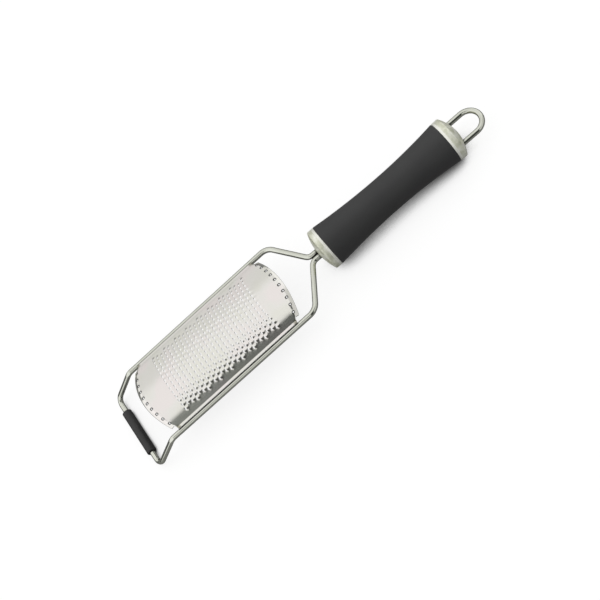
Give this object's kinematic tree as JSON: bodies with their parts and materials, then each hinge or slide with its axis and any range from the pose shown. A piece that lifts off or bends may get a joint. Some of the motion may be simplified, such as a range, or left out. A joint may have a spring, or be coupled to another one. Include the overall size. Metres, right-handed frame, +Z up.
{
  "type": "rasp zester",
  "caption": "Kitchen rasp: an arched steel grating plate on a bent rod frame with a rubber-sleeved foot, a round waisted black handle with metal end caps, and a hanging loop.",
  "frame": {"origin": "middle of the tool's length and width, on the table that the foot sleeve and the rear cap's rim rest on", "axes": "+X along the tool from the foot towards the hanging loop, +Y across it, to the left of someone who looks along +X, and +Z up"},
  "size_m": [0.3332, 0.068, 0.0363],
  "materials": {
    "polished_steel": "polished",
    "rasp_steel": "satin",
    "cast_metal": "matte",
    "soft_grip": "matte",
    "foot_rubber": "matte",
    "core_plastic": "matte",
    "inner_steel": "machined"
  },
  "bodies": {
    "root": {"frame_rod": "polished_steel", "rasp_plate": "rasp_steel", "foot_sleeve": "foot_rubber", "front_cap": "cast_metal", "rear_cap": "cast_metal", "grip": "soft_grip", "grip_core": "core_plastic", "tang_socket": "inner_steel", "tie_rod": "inner_steel", "hanging_loop": "polished_steel"}
  },
  "joints": []
}
